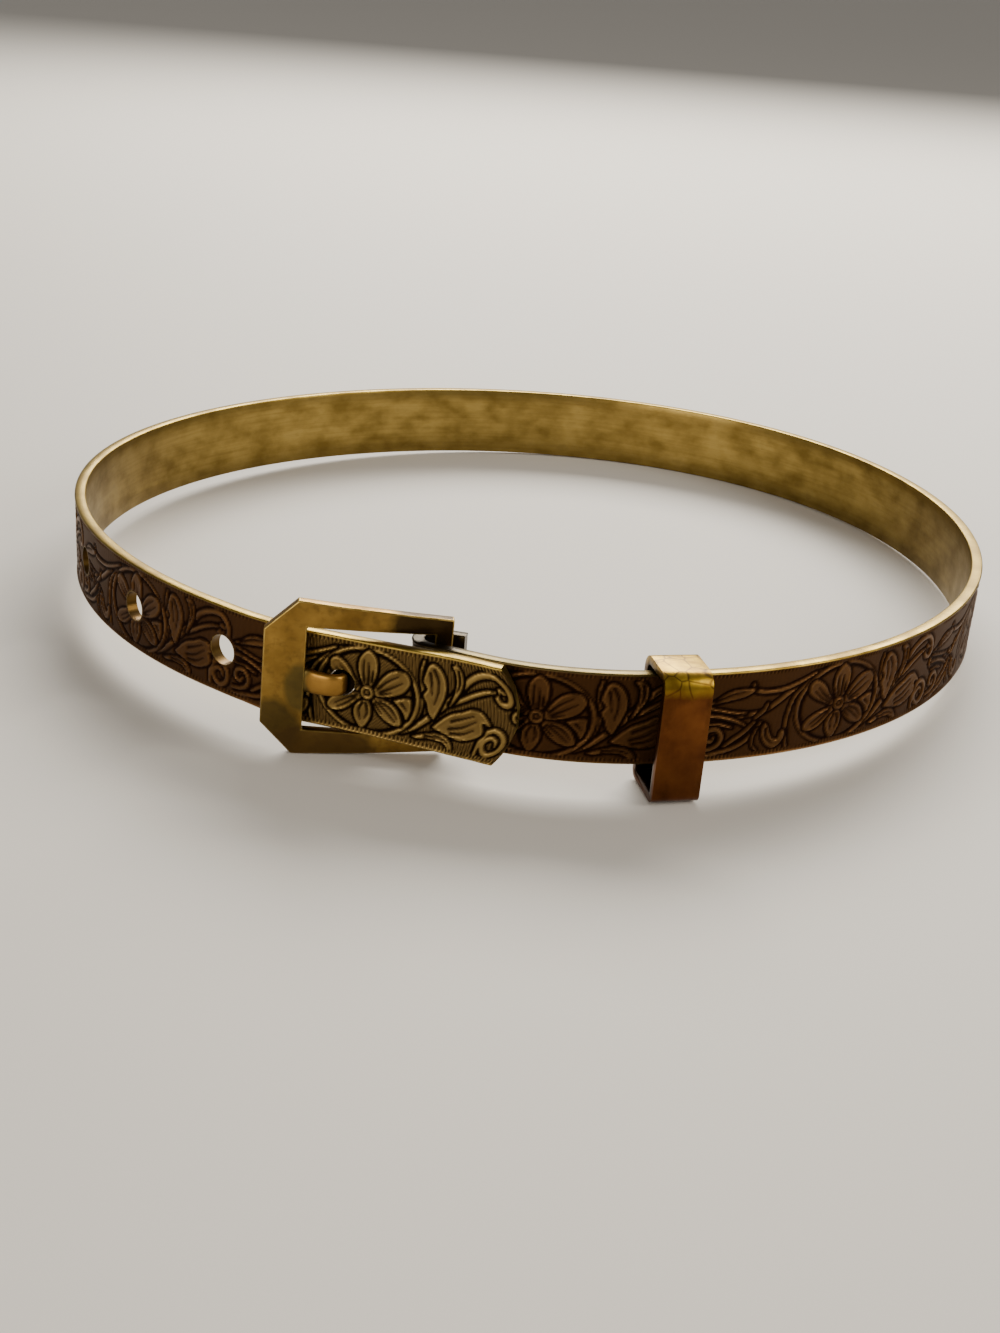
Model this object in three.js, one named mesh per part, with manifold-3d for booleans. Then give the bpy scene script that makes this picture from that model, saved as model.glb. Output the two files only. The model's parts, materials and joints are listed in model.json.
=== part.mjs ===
// A buckle bracelet: a thin brass band that closes like a belt. One strip of metal folds round
// the bar of a plate buckle, runs once round the wrist, passes back through the buckle, hooks on
// its fixed prong and ends in a tip that lies over the heel. A loose keeper hangs on the band.
// Millimetres, +Z up. The bracelet lies on its side, as it rests by itself.
import * as THREE from 'three';
import { mergeVertices } from 'three/addons/utils/BufferGeometryUtils.js';
import Module from 'manifold-3d';

// Band, seen from above: nearly a circle, bent slightly out of round by wear
const BAND_RADIUS = 33.45;
const OVAL_RISE = 0.66;
const OVAL_ANGLE = THREE.MathUtils.degToRad(14.2);
const EGG_RISE = 0.415;
const EGG_ANGLE = THREE.MathUtils.degToRad(27.4);
const BAND_STEP = 0.7;

// Strap: one strip of sheet
const STRAP_WIDTH = 6.0;
const STRAP_WALL = 0.8;
const LAYER_GAP = 0.15;
const TIP_BULGE = 1.3;
const TIP_SLANT = 0.15;
const HOLE_DIAMETER = 2.0;
const HOLE_PITCH = 9.14;
const HOLE_COUNT = 4;
const FREE_HOLE_FROM_TIP = 19.94;
const FOLD_RETURN = 1.5;

// Buckle: a flat plate with a window and a prong of the same sheet
const FRAME_LENGTH = 11.45;
const FRAME_WALL = 0.7;
const FRAME_HEIGHT_FRONT = 10.25;
const FRAME_HEIGHT_HEEL = 8.9;
const FRAME_CORNER = 2.0;
const FRAME_BOW = 0.25;
const FRAME_CANT = THREE.MathUtils.degToRad(-1.6);
const FRAME_RISE = 0.05;
const FRONT_BAR = 2.6;
const HEEL_BAR = 1.1;
const WINDOW_CLEARANCE = 0.42;
const PRONG_WIDTH = 1.55;
const PRONG_WALL = 0.6;
const PRONG_REACH = 2.18;
const PRONG_RISE = 0.25;
const NIB_WIDTH = 1.2;
const NIB_SHARE = 0.42;
const NIB_FORWARD = 0.2;
const HEEL_BAR_PLACE = -6.8;
const BAR_SLANT = THREE.MathUtils.degToRad(24);

// Keeper: a bent sheet loop that slides on the band
const KEEPER_WIDTH = 3.0;
const KEEPER_DEPTH = 4.1;
const KEEPER_HEIGHT = 8.45;
const KEEPER_WALL = 0.55;
const KEEPER_TOP_CORNER = 1.05;
const KEEPER_FOOT_CORNER = 0.6;
const KEEPER_HANG = 0.28;
const KEEPER_PLACE = 8.3;
const KEEPER_FORWARD = 0.525;

// Running clearance between two pieces
const CLEARANCE = 0.27;

const LAYER_PITCH = STRAP_WALL + LAYER_GAP;
const HOLE_RADIUS = HOLE_DIAMETER / 2;
const FRAME_MIDDLE = STRAP_WIDTH / 2 + FRAME_RISE;
const WINDOW_HEIGHT = STRAP_WIDTH + 2 * WINDOW_CLEARANCE;
const HEEL_BAR_CENTRE = FRAME_LENGTH - HEEL_BAR / 2;
const FRONT_BAR_PLACE = HEEL_BAR_PLACE - (HEEL_BAR_CENTRE - FRONT_BAR) * Math.cos(BAR_SLANT);
const HOOKED_HOLE_PLACE = FRONT_BAR_PLACE + PRONG_REACH;

// Each row: place along the band in frame lengths from the heel bar, offset outward in layers
const FREE_END_LAY = [
  { along: -1.30, out: 0.00 },
  { along: -1.05, out: 0.08 },
  { along: -0.85, out: 0.02 },
  { along: -0.70, out: -0.18 },
  { along: -0.50, out: -0.43 },
  { along: -0.25, out: -0.53 },
  { along: 0.00, out: -0.50 },
  { along: 0.15, out: -0.34 },
  { along: 0.30, out: 0.04 },
  { along: 0.42, out: 0.40 },
  { along: 0.515, out: 0.66 },
];
const HEEL_LAY = [
  { along: 0.00, out: -1.52 },
  { along: 0.07, out: -1.50 },
  { along: 0.15, out: -1.36 },
  { along: 0.30, out: -0.97 },
  { along: 0.42, out: -0.67 },
  { along: 0.55, out: -0.43 },
  { along: 0.72, out: -0.21 },
  { along: 0.95, out: -0.04 },
  { along: 1.20, out: 0.00 },
];

const wasm = await Module();
wasm.setup();

// The band's middle line, by its tangent angle: 0 at the front, growing counterclockwise
function bandLength(angle) {
  const oval = 1.5 * OVAL_RISE * (Math.sin(2 * (angle - OVAL_ANGLE)) + Math.sin(2 * OVAL_ANGLE));
  const egg = 8 / 3 * EGG_RISE * (Math.sin(3 * (angle - EGG_ANGLE)) + Math.sin(3 * EGG_ANGLE));
  return BAND_RADIUS * angle + oval - egg;
}

function bandAngle(length) {
  let angle = length / BAND_RADIUS;
  for (let round = 0; round < 30; round += 1) {
    angle -= (bandLength(angle) - length) / BAND_RADIUS;
  }
  return angle;
}

function bandSupport(angle) {
  const oval = OVAL_RISE * Math.cos(2 * (angle - OVAL_ANGLE));
  const egg = EGG_RISE * Math.cos(3 * (angle - EGG_ANGLE));
  return BAND_RADIUS - oval + egg;
}

function bandSlope(angle) {
  const oval = 2 * OVAL_RISE * Math.sin(2 * (angle - OVAL_ANGLE));
  const egg = 3 * EGG_RISE * Math.sin(3 * (angle - EGG_ANGLE));
  return oval - egg;
}

const tangentOf = (angle) => new THREE.Vector2(Math.cos(angle), Math.sin(angle));
const outwardOf = (angle) => new THREE.Vector2(Math.sin(angle), -Math.cos(angle));

// A point in plan, at a length along the band from the front and an offset outward
function onBand(length, out = 0) {
  const angle = bandAngle(length);
  return outwardOf(angle)
    .multiplyScalar(bandSupport(angle) + out)
    .addScaledVector(tangentOf(angle), bandSlope(angle));
}

function layPath(rows) {
  const spline = new THREE.SplineCurve(rows.map((row) => new THREE.Vector2(row.along, row.out)));
  const span = (rows[rows.length - 1].along - rows[0].along) * FRAME_LENGTH;
  const steps = Math.ceil(span / (BAND_STEP / 1.5));
  return spline.getPoints(steps).map((point) => ({
    length: HEEL_BAR_PLACE + point.x * FRAME_LENGTH,
    out: point.y * LAYER_PITCH,
  }));
}

// How a laid stretch stands at a place: its offset and the way that it runs
function outAt(rows, length) {
  const path = layPath(rows);
  const next = path.findIndex((point) => point.length >= length);
  const after = path[Math.max(next, 1)];
  const before = path[Math.max(next, 1) - 1];
  const share = (length - before.length) / (after.length - before.length);
  return before.out + share * (after.out - before.out);
}

function turnAt(rows, length) {
  const before = length - BAND_STEP;
  const run = onBand(length, outAt(rows, length)).sub(onBand(before, outAt(rows, before)));
  return Math.atan2(run.y, run.x);
}

// Solids and the shapes that they are made of
function toSolid(geometry) {
  const bare = geometry.clone();
  bare.deleteAttribute('normal');
  bare.deleteAttribute('uv');
  const merged = mergeVertices(bare, 1e-5);
  return new wasm.Manifold(new wasm.Mesh({
    numProp: 3,
    vertProperties: new Float32Array(merged.attributes.position.array),
    triVerts: new Uint32Array(merged.index.array),
  }));
}

function toGeometry(solid) {
  const mesh = solid.getMesh();
  const geometry = new THREE.BufferGeometry();
  geometry.setAttribute('position', new THREE.BufferAttribute(mesh.vertProperties, 3));
  geometry.setIndex(new THREE.BufferAttribute(mesh.triVerts, 1));
  geometry.computeVertexNormals();
  return geometry;
}

function extrude(outline, depth) {
  const shape = outline instanceof THREE.Shape ? outline : new THREE.Shape(outline);
  return new THREE.ExtrudeGeometry(shape, { depth, bevelEnabled: false, curveSegments: 6 });
}

// A strip of sheet on edge: a path in plan, as thick as its wall and as tall as its height
function ribbon(path, wall, bottom, height) {
  const outer = [];
  const inner = [];
  path.forEach((point, index) => {
    const before = path[Math.max(index - 1, 0)];
    const after = path[Math.min(index + 1, path.length - 1)];
    const along = after.clone().sub(before).normalize();
    const side = new THREE.Vector2(along.y, -along.x);
    outer.push(point.clone().addScaledVector(side, wall / 2));
    inner.unshift(point.clone().addScaledVector(side, -wall / 2));
  });
  return toSolid(extrude([...outer, ...inner], height).translate(0, 0, bottom));
}

// Turns a shape drawn facing the viewer (x along, y up, z outward) to its place in plan
function faceOutward(geometry, place, angle) {
  const along = tangentOf(angle);
  const out = outwardOf(angle);
  const matrix = new THREE.Matrix4().makeBasis(
    new THREE.Vector3(along.x, along.y, 0),
    new THREE.Vector3(0, 0, 1),
    new THREE.Vector3(out.x, out.y, 0),
  );
  return geometry.applyMatrix4(matrix.setPosition(place.x, place.y, 0));
}

// The fold at the heel: wide enough for the plate's bar, which stands across it at a slant
const HEEL_OUT = HEEL_LAY[0].out * LAYER_PITCH;
const FOLD_INSIDE = FRAME_WALL * Math.cos(BAR_SLANT) + HEEL_BAR * Math.sin(BAR_SLANT)
  + 2 * CLEARANCE;
const FOLD_RADIUS = (FOLD_INSIDE + STRAP_WALL) / 2;
const heelAngle = bandAngle(HEEL_BAR_PLACE);
const foldCentre = onBand(HEEL_BAR_PLACE, HEEL_OUT - FOLD_RADIUS);

function foldPath() {
  const along = tangentOf(heelAngle);
  const out = outwardOf(heelAngle);
  const path = [];
  for (let step = 3; step > 0; step -= 1) {
    path.push(foldCentre.clone()
      .addScaledVector(out, -FOLD_RADIUS)
      .addScaledVector(along, FOLD_RETURN * step / 3));
  }
  const steps = 14;
  for (let step = 0; step < steps; step += 1) {
    const turn = Math.PI * step / steps;
    path.push(foldCentre.clone()
      .addScaledVector(out, -FOLD_RADIUS * Math.cos(turn))
      .addScaledVector(along, -FOLD_RADIUS * Math.sin(turn)));
  }
  return path;
}

function strapPath() {
  const heel = layPath(HEEL_LAY);
  const freeEnd = layPath(FREE_END_LAY);
  const whole = bandLength(2 * Math.PI);
  const start = heel[heel.length - 1].length;
  const span = whole + freeEnd[0].length - start;
  const steps = Math.round(span / BAND_STEP);
  const path = foldPath();
  heel.forEach((point) => path.push(onBand(point.length, point.out)));
  for (let step = 1; step < steps; step += 1) {
    path.push(onBand(start + span * step / steps));
  }
  freeEnd.forEach((point) => path.push(onBand(point.length, point.out)));
  return path;
}

const TIP_PLACE = HEEL_BAR_PLACE + FREE_END_LAY[FREE_END_LAY.length - 1].along * FRAME_LENGTH;

function tipCutter() {
  const spare = STRAP_WIDTH / 4;
  const outline = [new THREE.Vector2(spare, STRAP_WIDTH + spare)];
  const steps = 12;
  for (let step = 0; step <= steps; step += 1) {
    const share = step / steps;
    const bulge = TIP_BULGE * (4 * share * (1 - share) - 1) - TIP_SLANT * share;
    outline.push(new THREE.Vector2(bulge, STRAP_WIDTH * (1 - share)));
  }
  outline.splice(1, 0, new THREE.Vector2(outline[1].x, STRAP_WIDTH + spare));
  outline.push(new THREE.Vector2(outline[steps + 2].x, -spare), new THREE.Vector2(spare, -spare));
  const inside = (STRAP_WALL + LAYER_GAP) / 2;
  const cutter = extrude(outline.reverse(), 2 * STRAP_WALL).translate(0, 0, -inside);
  const place = onBand(TIP_PLACE, outAt(FREE_END_LAY, TIP_PLACE));
  return toSolid(faceOutward(cutter, place, turnAt(FREE_END_LAY, TIP_PLACE)));
}

// The prong stands in the first hole; the others are free
function holePlace(index) {
  if (index === 0) {
    return HOOKED_HOLE_PLACE;
  }
  return TIP_PLACE - FREE_HOLE_FROM_TIP - (index - 1) * HOLE_PITCH;
}

function holeCutter(index) {
  const place = holePlace(index);
  const laid = place > HEEL_BAR_PLACE + FREE_END_LAY[0].along * FRAME_LENGTH;
  const out = laid ? outAt(FREE_END_LAY, place) : 0;
  const turn = laid ? turnAt(FREE_END_LAY, place) : bandAngle(place);
  const drill = new THREE.CylinderGeometry(HOLE_RADIUS, HOLE_RADIUS, 3 * STRAP_WALL, 20)
    .rotateX(Math.PI / 2)
    .translate(0, STRAP_WIDTH / 2, 0);
  return toSolid(faceOutward(drill, onBand(place, out), turn));
}

function strapGeometry() {
  let strap = ribbon(strapPath(), STRAP_WALL, 0, STRAP_WIDTH).subtract(tipCutter());
  for (let index = 0; index < HOLE_COUNT; index += 1) {
    strap = strap.subtract(holeCutter(index));
  }
  return toGeometry(strap);
}

// The buckle stands from its bar in the fold to the front bar, which lies over the strap
const bowAt = (u) => FRAME_BOW * 4 * u * (FRAME_LENGTH - u) / FRAME_LENGTH ** 2;

function frontBarEdge() {
  const lift = (STRAP_WALL + FRAME_WALL) / 2 + CLEARANCE - bowAt(FRONT_BAR);
  return onBand(FRONT_BAR_PLACE, outAt(FREE_END_LAY, FRONT_BAR_PLACE) + lift);
}

const barCentre = foldCentre.clone().addScaledVector(tangentOf(heelAngle), CLEARANCE);
const frameAlong = barCentre.clone().sub(frontBarEdge()).normalize();
const frameOut = new THREE.Vector2(frameAlong.y, -frameAlong.x);
const frameAngle = Math.atan2(frameAlong.y, frameAlong.x);
const frameStart = barCentre.clone()
  .addScaledVector(frameAlong, -HEEL_BAR_CENTRE)
  .addScaledVector(frameOut, -bowAt(HEEL_BAR_CENTRE));

function onFrame(u, out = 0) {
  return frameStart.clone()
    .addScaledVector(frameAlong, u)
    .addScaledVector(frameOut, bowAt(u) + out);
}

function frameOutline() {
  const front = FRAME_HEIGHT_FRONT / 2;
  const heel = FRAME_HEIGHT_HEEL / 2;
  const upper = [
    [0, front - FRAME_CORNER],
    [FRAME_CORNER, front],
    [FRAME_LENGTH, heel],
  ];
  const lower = upper.map(([u, v]) => [u, -v]).reverse();
  return [...upper, ...lower].map(([u, v]) => new THREE.Vector2(u, v)).reverse();
}

function windowOutline() {
  const right = FRAME_LENGTH - HEEL_BAR;
  const half = WINDOW_HEIGHT / 2;
  return [[FRONT_BAR, -half], [right, -half], [right, half], [FRONT_BAR, half]]
    .map(([u, v]) => new THREE.Vector2(u, v));
}

function frameCutter(outline) {
  const depth = 8 * FRAME_WALL;
  const middle = FRAME_LENGTH / 2;
  const block = extrude(outline, depth)
    .translate(-middle, 0, -depth / 2)
    .rotateZ(FRAME_CANT)
    .translate(0, FRAME_MIDDLE, 0);
  const place = frameStart.clone().addScaledVector(frameAlong, middle);
  return toSolid(faceOutward(block, place, frameAngle));
}

function prongPath() {
  const nib = HOOKED_HOLE_PLACE + NIB_FORWARD;
  const over = outAt(FREE_END_LAY, nib) + (STRAP_WALL + PRONG_WALL) / 2 + CLEARANCE;
  const under = outAt(FREE_END_LAY, nib) - STRAP_WALL / 2 + PRONG_WALL / 15;
  const bend = PRONG_WALL;
  return new THREE.CatmullRomCurve3([
    onFrame(FRONT_BAR - bend),
    onFrame(FRONT_BAR + bend / 4, PRONG_RISE / 5),
    onBand(nib - 2.5 * bend, over + PRONG_RISE),
    onBand(nib - bend, over + PRONG_RISE / 2),
    onBand(nib - bend / 5, over - bend / 2),
    onBand(nib, under),
  ].map((point) => new THREE.Vector3(point.x, point.y, 0)), false, 'centripetal')
    .getSpacedPoints(22)
    .map((point) => new THREE.Vector2(point.x, point.y));
}

function prongSolid() {
  const path = prongPath();
  const middle = STRAP_WIDTH / 2;
  const nibStart = Math.round(path.length * (1 - NIB_SHARE));
  const tongue = ribbon(path.slice(0, nibStart + 1), PRONG_WALL, middle - PRONG_WIDTH / 2, PRONG_WIDTH);
  const nib = ribbon(path.slice(nibStart - 1), PRONG_WALL, middle - NIB_WIDTH / 2, NIB_WIDTH);
  return tongue.add(nib);
}

function frameGeometry() {
  const path = [];
  const steps = 16;
  for (let step = 0; step <= steps; step += 1) {
    path.push(onFrame(FRAME_LENGTH * (step / steps * 1.2 - 0.1)));
  }
  const blank = ribbon(path, FRAME_WALL, FRAME_MIDDLE - FRAME_HEIGHT_FRONT, 2 * FRAME_HEIGHT_FRONT);
  const plate = blank.intersect(frameCutter(frameOutline())).subtract(frameCutter(windowOutline()));
  return toGeometry(plate.add(prongSolid()));
}

// Keeper, drawn in its own section: x outward, y up
function roundedRectangle(path, width, height, footCorner, topCorner) {
  const x = width / 2;
  const y = height / 2;
  path.moveTo(x - footCorner, -y);
  path.absarc(x - footCorner, footCorner - y, footCorner, -Math.PI / 2, 0);
  path.absarc(x - topCorner, y - topCorner, topCorner, 0, Math.PI / 2);
  path.absarc(topCorner - x, y - topCorner, topCorner, Math.PI / 2, Math.PI);
  path.absarc(footCorner - x, footCorner - y, footCorner, Math.PI, Math.PI * 1.5);
  return path;
}

function keeperGeometry() {
  const loop = roundedRectangle(
    new THREE.Shape(),
    KEEPER_DEPTH,
    KEEPER_HEIGHT,
    KEEPER_FOOT_CORNER,
    KEEPER_TOP_CORNER,
  );
  const insideCorner = (corner) => Math.max(corner - KEEPER_WALL, KEEPER_WALL / 4);
  loop.holes.push(roundedRectangle(
    new THREE.Path(),
    KEEPER_DEPTH - 2 * KEEPER_WALL,
    KEEPER_HEIGHT - 2 * KEEPER_WALL,
    insideCorner(KEEPER_FOOT_CORNER),
    insideCorner(KEEPER_TOP_CORNER),
  ));
  return toGeometry(toSolid(extrude(loop, KEEPER_WIDTH).translate(0, 0, -KEEPER_WIDTH / 2)));
}

const agedBrass = new THREE.MeshStandardMaterial({ color: 0x7a5a2c, roughness: 0.42, metalness: 1 });
const frameBrass = new THREE.MeshStandardMaterial({ color: 0x8f6a30, roughness: 0.38, metalness: 1 });
const keeperBrass = new THREE.MeshStandardMaterial({ color: 0x9a7436, roughness: 0.35, metalness: 1 });

const strap = new THREE.Mesh(strapGeometry(), agedBrass);
strap.name = 'strap';

const buckleFrame = new THREE.Mesh(frameGeometry(), frameBrass);
buckleFrame.name = 'buckle_frame';

const keeper = new THREE.Mesh(keeperGeometry(), keeperBrass);
keeper.name = 'keeper';
const keeperPoint = onBand(KEEPER_PLACE, KEEPER_FORWARD);
const keeperTop = STRAP_WIDTH + KEEPER_HANG + KEEPER_WALL;
keeper.position.set(keeperPoint.x, keeperPoint.y, keeperTop - KEEPER_HEIGHT / 2);
keeper.rotation.set(Math.PI / 2, 0, bandAngle(KEEPER_PLACE) - Math.PI / 2, 'ZYX');

// It lies on the buckle's lower front corner and on the rim across from it
function restTilt() {
  const corner = onFrame(FRAME_CORNER, FRAME_WALL / 2);
  const drop = (FRAME_LENGTH / 2 - FRAME_CORNER) * Math.sin(FRAME_CANT)
    + FRAME_HEIGHT_FRONT / 2 * Math.cos(FRAME_CANT) - FRAME_MIDDLE;
  const heading = Math.atan2(-corner.y, -corner.x);
  const across = bandSupport(heading + Math.PI / 2) + STRAP_WALL / 2;
  const slope = Math.atan2(drop, corner.length() + across);
  const hinge = new THREE.Vector3(Math.sin(heading), -Math.cos(heading), 0);
  return new THREE.Quaternion().setFromAxisAngle(hinge, -slope);
}

const bracelet = new THREE.Group();
bracelet.add(strap, buckleFrame, keeper);
bracelet.quaternion.copy(restTilt());
const box = new THREE.Box3().setFromObject(bracelet, true);
const middle = box.getCenter(new THREE.Vector3());
bracelet.position.set(-middle.x, -middle.y, -box.min.z);

export default bracelet;
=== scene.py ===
"""The looks of a buckle bracelet: an engraved brass strap, its plate buckle and its keeper.

Lengths in the making of shapes are millimetres in the band's own frame, where the strap's lower
edge lies at height 0 and the front of the band is at angle 0. One matrix takes them to the part.
"""
import json
import math

import bmesh
import bpy
import numpy as np
from mathutils import Matrix, Vector


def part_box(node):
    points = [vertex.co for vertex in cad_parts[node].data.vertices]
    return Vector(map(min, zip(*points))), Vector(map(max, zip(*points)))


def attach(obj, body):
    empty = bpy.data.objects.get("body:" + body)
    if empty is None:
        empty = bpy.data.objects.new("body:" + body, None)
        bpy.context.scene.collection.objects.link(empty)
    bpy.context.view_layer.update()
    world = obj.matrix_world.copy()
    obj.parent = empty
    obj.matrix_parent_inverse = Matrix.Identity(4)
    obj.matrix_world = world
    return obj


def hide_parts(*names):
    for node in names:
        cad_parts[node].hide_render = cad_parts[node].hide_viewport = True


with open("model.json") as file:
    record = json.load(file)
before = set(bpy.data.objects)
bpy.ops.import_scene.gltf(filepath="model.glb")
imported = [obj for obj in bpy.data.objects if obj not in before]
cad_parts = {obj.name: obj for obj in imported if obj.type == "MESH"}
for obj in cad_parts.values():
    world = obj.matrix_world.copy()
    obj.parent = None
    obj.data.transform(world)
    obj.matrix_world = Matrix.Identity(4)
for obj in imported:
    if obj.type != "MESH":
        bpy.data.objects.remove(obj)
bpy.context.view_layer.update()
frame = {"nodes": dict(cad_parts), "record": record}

MM = 0.001

# The band's middle line, as the part has it
BAND_RADIUS = 33.45
OVAL_RISE = 0.66
OVAL_ANGLE = math.radians(14.2)
EGG_RISE = 0.415
EGG_ANGLE = math.radians(27.4)
BAND_LENGTH = 2 * math.pi * BAND_RADIUS

# Strap
STRAP_WIDTH = 6.0
STRAP_WALL = 0.8
LAYER_GAP = 0.15
FOLD_INSIDE = 1.627
FOLD_RETURN = 1.5
TIP_BULGE = 1.3
TIP_SLANT = 0.15
TIP_RUN_IN = 4.5
HOLE_RADIUS = 1.0
HOLE_PITCH = 9.14
HOLE_COUNT = 4
HOOKED_HOLE_RADIUS = 0.86
FREE_HOLE_FROM_TIP = 19.94
EDGE_ROUND = 0.1
FACE_ROWS = 54
LAYER_PITCH = STRAP_WALL + LAYER_GAP
FOLD_RADIUS = (FOLD_INSIDE + STRAP_WALL) / 2

# Buckle
FRAME_LENGTH = 11.45
FRAME_WALL = 0.7
FRAME_HEIGHT_FRONT = 10.25
FRAME_HEIGHT_HEEL = 8.9
FRAME_CORNER = 2.0
FRAME_BOW = 0.25
FRAME_CANT = math.radians(-1.6)
FRAME_RISE = 0.05
FRONT_BAR = 2.6
HEEL_BAR = 1.1
HEEL_BAR_PLACE = -6.8
BAR_SLANT = math.radians(24)
WINDOW_CLEARANCE = 0.42
PRONG_WALL = 0.6
PRONG_WIDTH = 1.55
PRONG_REACH = 2.18
PRONG_RISE = 0.25
NIB_WIDTH = 1.3
NIB_FORWARD = 0.2
SHADE_PLUG_GAP = 0.06
CLEARANCE = 0.27
PLATE_STEP = 0.5
PLATE_EDGE = 0.09
FRAME_MIDDLE = STRAP_WIDTH / 2 + FRAME_RISE
WINDOW_HEIGHT = STRAP_WIDTH + 2 * WINDOW_CLEARANCE
HEEL_BAR_CENTRE = FRAME_LENGTH - HEEL_BAR / 2
FRONT_BAR_PLACE = HEEL_BAR_PLACE - (HEEL_BAR_CENTRE - FRONT_BAR) * math.cos(BAR_SLANT)
HOOKED_HOLE_PLACE = FRONT_BAR_PLACE + PRONG_REACH

# Each row: share of the prong's length, its width there
PRONG_WIDTHS = np.array([(0, PRONG_WIDTH), (0.25, PRONG_WIDTH), (0.6, 1.42), (1, NIB_WIDTH)])

# Keeper
KEEPER_DEPTH = 4.1
KEEPER_WALL = 0.55
KEEPER_PLACE = 8.3
KEEPER_EDGE = 0.08

# Each row: place along the band in frame lengths from the heel bar, offset outward in layers
FREE_END_LAY = np.array([
    (-1.30, 0.00), (-1.05, 0.08), (-0.85, 0.02), (-0.70, -0.18), (-0.50, -0.43), (-0.25, -0.53),
    (0.00, -0.50), (0.15, -0.34), (0.30, 0.04), (0.42, 0.40), (0.515, 0.66),
])
HEEL_LAY = np.array([
    (0.00, -1.52), (0.07, -1.50), (0.15, -1.36), (0.30, -0.97), (0.42, -0.67), (0.55, -0.43),
    (0.72, -0.21), (0.95, -0.04), (1.20, 0.00),
])
TIP_PLACE = HEEL_BAR_PLACE + FREE_END_LAY[-1, 0] * FRAME_LENGTH

# How far the free end's lower edge hangs below the band's. Each row: place from the front, drop
FLARE = np.array([(-19.0, 0.0), (-16.0, 0.22), (-10.5, 0.22), (-5.0, 0.48)])

# Engraving: its depth and raster, and where the flowers stand along the band from the front
RELIEF_DEPTH = 0.14
MOTIF_HALF = 9.6
MOTIF_STRETCH = 1.04
RASTER_STEP = 0.035
RIGHT_FLOWER = 20.25
LEFT_FLOWER = BAND_LENGTH - 29.6
TIP_FLOWER = BAND_LENGTH - 10.53
HEEL_FLOWER = 0.1
FLOWERS = np.array([HEEL_FLOWER, *np.linspace(RIGHT_FLOWER, LEFT_FLOWER, 9), TIP_FLOWER])

# The tip is kept bright by the cuff; the rear is seen from afar and its engraving is worn soft
TIP_FROM = BAND_LENGTH - 15.5
REAR_FROM = 36
REAR_TO = BAND_LENGTH - 44

# Columns of the strap's mesh, denser where it is seen closely. Each row: from, to, spacing
STRAP_SPACINGS = [
    (TIP_FROM, BAND_LENGTH, 0.085),
    (REAR_TO, TIP_FROM, 0.14),
    (-1.5, 10, 0.12),
    (10, REAR_FROM, 0.13),
]
REAR_SPACING = 0.22

# Camera: found by fitting the photograph's outline, in the band's frame
FOCAL_PIXELS = 1638.1
PHOTO_LONG_SIDE = 1333
SENSOR = 36.0
CAMERA_DOWN = 0.414
CAMERA_ROLL = 0.082
CAMERA_DISTANCE = 129.66
CAMERA_ACROSS = -1.962
CAMERA_UP = -7.717
BAND_MIDDLE = Vector((-0.411, -0.056, 0.0))


def spline(points, steps):
    """A smooth curve through points (Catmull-Rom), steps pieces to each span."""
    points = np.asarray(points, float)
    first = 2 * points[0] - points[1]
    last = 2 * points[-1] - points[-2]
    padded = np.vstack([first, points, last])
    share = np.linspace(0, 1, steps, endpoint=False)[:, None]
    spans = []
    for a, b, c, d in zip(padded, padded[1:], padded[2:], padded[3:]):
        spans.append(0.5 * (2 * b + (c - a) * share + (2 * a - 5 * b + 4 * c - d) * share ** 2
                            + (3 * b - a - 3 * c + d) * share ** 3))
    return np.vstack([*spans, points[-1:]])


# The band in plan
def band_length(angle):
    oval = 1.5 * OVAL_RISE * (np.sin(2 * (angle - OVAL_ANGLE)) + math.sin(2 * OVAL_ANGLE))
    egg = 8 / 3 * EGG_RISE * (np.sin(3 * (angle - EGG_ANGLE)) + math.sin(3 * EGG_ANGLE))
    return BAND_RADIUS * angle + oval - egg


def band_angle(length):
    angle = np.asarray(length, float) / BAND_RADIUS
    for _ in range(30):
        angle = angle - (band_length(angle) - length) / BAND_RADIUS
    return angle


def on_band(length, out=0.0):
    angle = band_angle(length)
    support = (BAND_RADIUS - OVAL_RISE * np.cos(2 * (angle - OVAL_ANGLE))
               + EGG_RISE * np.cos(3 * (angle - EGG_ANGLE)) + out)
    slope = (2 * OVAL_RISE * np.sin(2 * (angle - OVAL_ANGLE))
             - 3 * EGG_RISE * np.sin(3 * (angle - EGG_ANGLE)))
    return np.stack([support * np.sin(angle) + slope * np.cos(angle),
                     slope * np.sin(angle) - support * np.cos(angle)], -1)


def band_direction(place):
    """The band's direction and its outward side at a place."""
    angle = float(band_angle(place))
    along = np.array([math.cos(angle), math.sin(angle)])
    return along, np.array([along[1], -along[0]])


def directions(path):
    """Unit steps along a path in plan, and the path's outward side."""
    step = np.gradient(path, axis=0)
    along = step / np.linalg.norm(step, axis=1)[:, None]
    return along, np.stack([along[:, 1], -along[:, 0]], -1)


def run_along(path):
    return np.concatenate([[0], np.cumsum(np.linalg.norm(np.diff(path, axis=0), axis=1))])


def lay(rows):
    """Places along the band and outward offsets of a smooth lay through a table's rows."""
    curve = spline(rows, 12)
    return HEEL_BAR_PLACE + curve[:, 0] * FRAME_LENGTH, curve[:, 1] * LAYER_PITCH


def resample(path, marks, spacing):
    """Points along a path at a spacing that may change; marks (places along it) go with them."""
    run = run_along(path)
    stops = [0.0]
    while stops[-1] < run[-1]:
        stops.append(stops[-1] + spacing(np.interp(stops[-1], run, marks)))
    stops = np.array(stops) * run[-1] / stops[-1]
    columns = [np.interp(stops, run, path[:, 0]), np.interp(stops, run, path[:, 1])]
    return np.stack(columns, -1), np.interp(stops, run, marks)


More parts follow.
